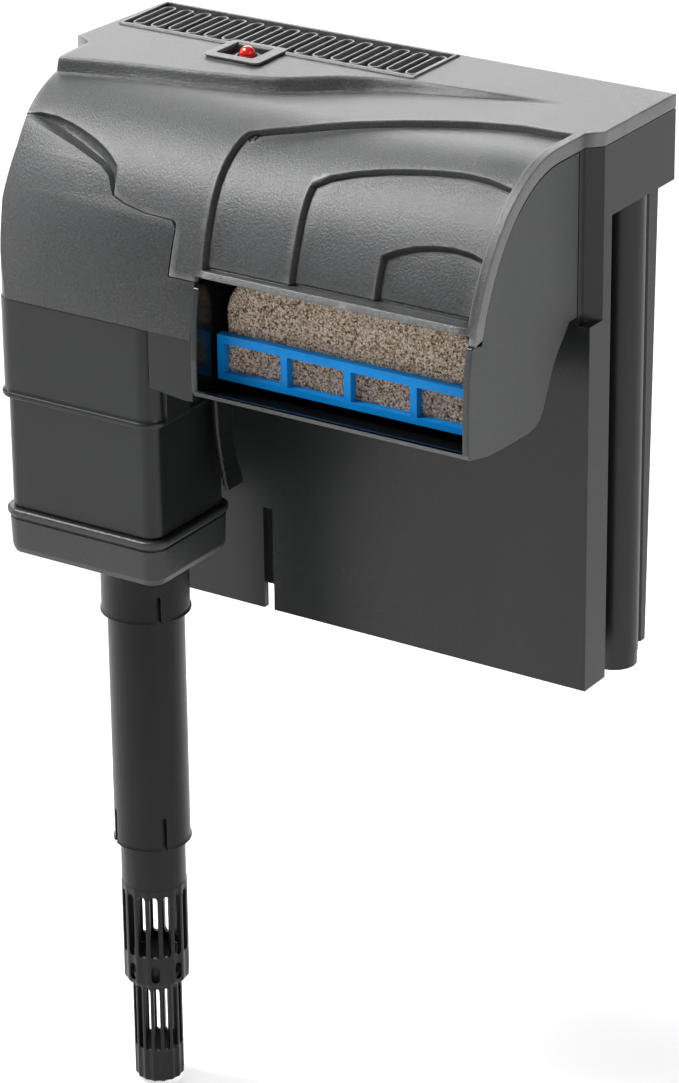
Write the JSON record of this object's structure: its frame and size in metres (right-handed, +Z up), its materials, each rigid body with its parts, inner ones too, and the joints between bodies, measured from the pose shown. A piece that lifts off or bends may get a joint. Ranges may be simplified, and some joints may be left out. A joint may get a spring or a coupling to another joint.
{
  "type": "hang on back aquarium filter",
  "caption": "Hang-on-back aquarium filter: outside chamber, lift-off hooded lid, spillway with diffuser grid, submerged pump and telescoping intake tube.",
  "frame": {"origin": "on the rim seat under the spillway, level with the middle of the 222 mm wide body", "axes": "+Z up, +Y away from the tank (the chamber's side), +X to the right for someone who looks from the tank towards the filter"},
  "size_m": [0.2255, 0.134, 0.3997],
  "materials": {
    "textured_black": "fine spark-eroded texture, satin",
    "smooth_black": "smooth moulded, satin",
    "rubber_black": "smooth rubber",
    "blue_plastic": "bright moulded plastic",
    "tan_pad": "coarse open fibre pad",
    "white_floss": "bonded polyester floss",
    "red_lens": "clear-coated red lens",
    "green_board": "solder-masked board",
    "dark_iron": "laminated iron and potted coil",
    "magnet_grey": "ferrite magnet",
    "ceramic_white": "ground ceramic"
  },
  "bodies": {
    "housing": {"filter_body": "smooth_black", "spillway_trough": "textured_black", "intake_bay_shell": "textured_black", "pump_bay_sleeve": "smooth_black", "riser_pipe": "smooth_black", "riser_seal": "rubber_black"},
    "lid": {"lid": "textured_black", "led_bezel": "textured_black", "led_lens": "red_lens", "led_board": "green_board"},
    "cartridge": {"cartridge_frame": "blue_plastic", "cartridge_floss": "white_floss"},
    "diffuser": {"diffuser_grid": "blue_plastic", "coarse_pad": "tan_pad"},
    "pump": {"pump_housing": "smooth_black", "pump_base_cap": "smooth_black", "base_gasket": "rubber_black", "motor_stator": "dark_iron", "impeller_shaft": "ceramic_white", "upper_bushing": "rubber_black", "lower_bushing": "rubber_black", "impeller_cover": "smooth_black"},
    "rotor": {"rotor_magnet": "magnet_grey", "impeller": "smooth_black"},
    "latch": {"release_latch": "smooth_black"},
    "intake": {"intake_tube": "smooth_black"},
    "strainer": {"strainer_upper": "smooth_black"},
    "tip": {"strainer_lower": "smooth_black"}
  },
  "joints": [
    {"name": "lid_lift", "type": "slide", "parent": "housing", "child": "lid", "axis": [0, 0, 1], "range_m": [0, 0.18]},
    {"name": "cartridge_lift", "type": "slide", "parent": "housing", "child": "cartridge", "axis": [0, 0, 1], "range_m": [0, 0.162]},
    {"name": "diffuser_lift", "type": "slide", "parent": "housing", "child": "diffuser", "axis": [0, 0, 1], "range_m": [0, 0.072]},
    {"name": "pump_drop", "type": "slide", "parent": "housing", "child": "pump", "axis": [0, 0, -1], "range_m": [0, 0.025]},
    {"name": "impeller_spin", "type": "hinge", "parent": "pump", "child": "rotor", "pos_m": [-0.049, -0.048, -0.087], "axis": [0, 0, 1], "continuous": true},
    {"name": "latch_press", "type": "hinge", "parent": "housing", "child": "latch", "pos_m": [-0.0244, -0.03, -0.039], "axis": [0, -1, 0], "range_deg": [0, 8], "stiffness_Nm_per_rad": 0.5},
    {"name": "intake_pull", "type": "slide", "parent": "pump", "child": "intake", "axis": [0, 0, -1], "range_m": [0, 0.018]},
    {"name": "strainer_slide", "type": "slide", "parent": "intake", "child": "strainer", "axis": [0, 0, 1], "range_m": [0, 0.014]},
    {"name": "tip_slide", "type": "slide", "parent": "strainer", "child": "tip", "axis": [0, 0, 1], "range_m": [0, 0.03]}
  ],
  "couplings": [
    {"joint": "cartridge_lift", "follows": "lid_lift", "ratio": 0.9},
    {"joint": "diffuser_lift", "follows": "lid_lift", "ratio": 0.4}
  ]
}
